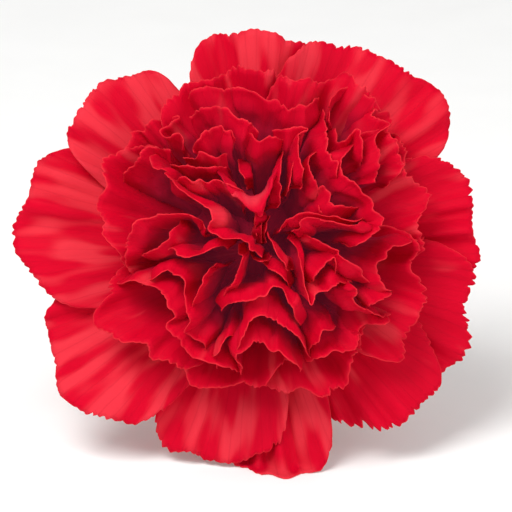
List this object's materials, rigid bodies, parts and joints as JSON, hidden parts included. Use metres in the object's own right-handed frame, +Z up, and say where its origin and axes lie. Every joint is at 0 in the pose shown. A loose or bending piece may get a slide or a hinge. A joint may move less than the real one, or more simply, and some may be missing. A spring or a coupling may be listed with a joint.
{
  "type": "cut carnation",
  "caption": "Red double carnation on a short cut stem, lying on a surface with its open bloom facing forwards and a little up.",
  "frame": {"origin": "on the surface the flower lies on, under the middle of its box", "axes": "+Z up from the surface, -Y the way the bloom faces, +Y towards the cut end of the stem, +X to the right as one looks into the bloom"},
  "size_m": [0.08, 0.1198, 0.0716],
  "materials": {
    "petal_red": "satin petal, soft and slightly translucent",
    "calyx_green": "smooth ribbed green, matt wax",
    "stem_green": "smooth green under a pale wax bloom",
    "leaf_green": "grey-green, matt wax",
    "pistil_green": "moist pale green"
  },
  "bodies": {
    "root": {"petals": "petal_red", "calyx": "calyx_green", "stem": "stem_green", "leaf_pair": "leaf_green", "pistil": "pistil_green"}
  },
  "joints": []
}
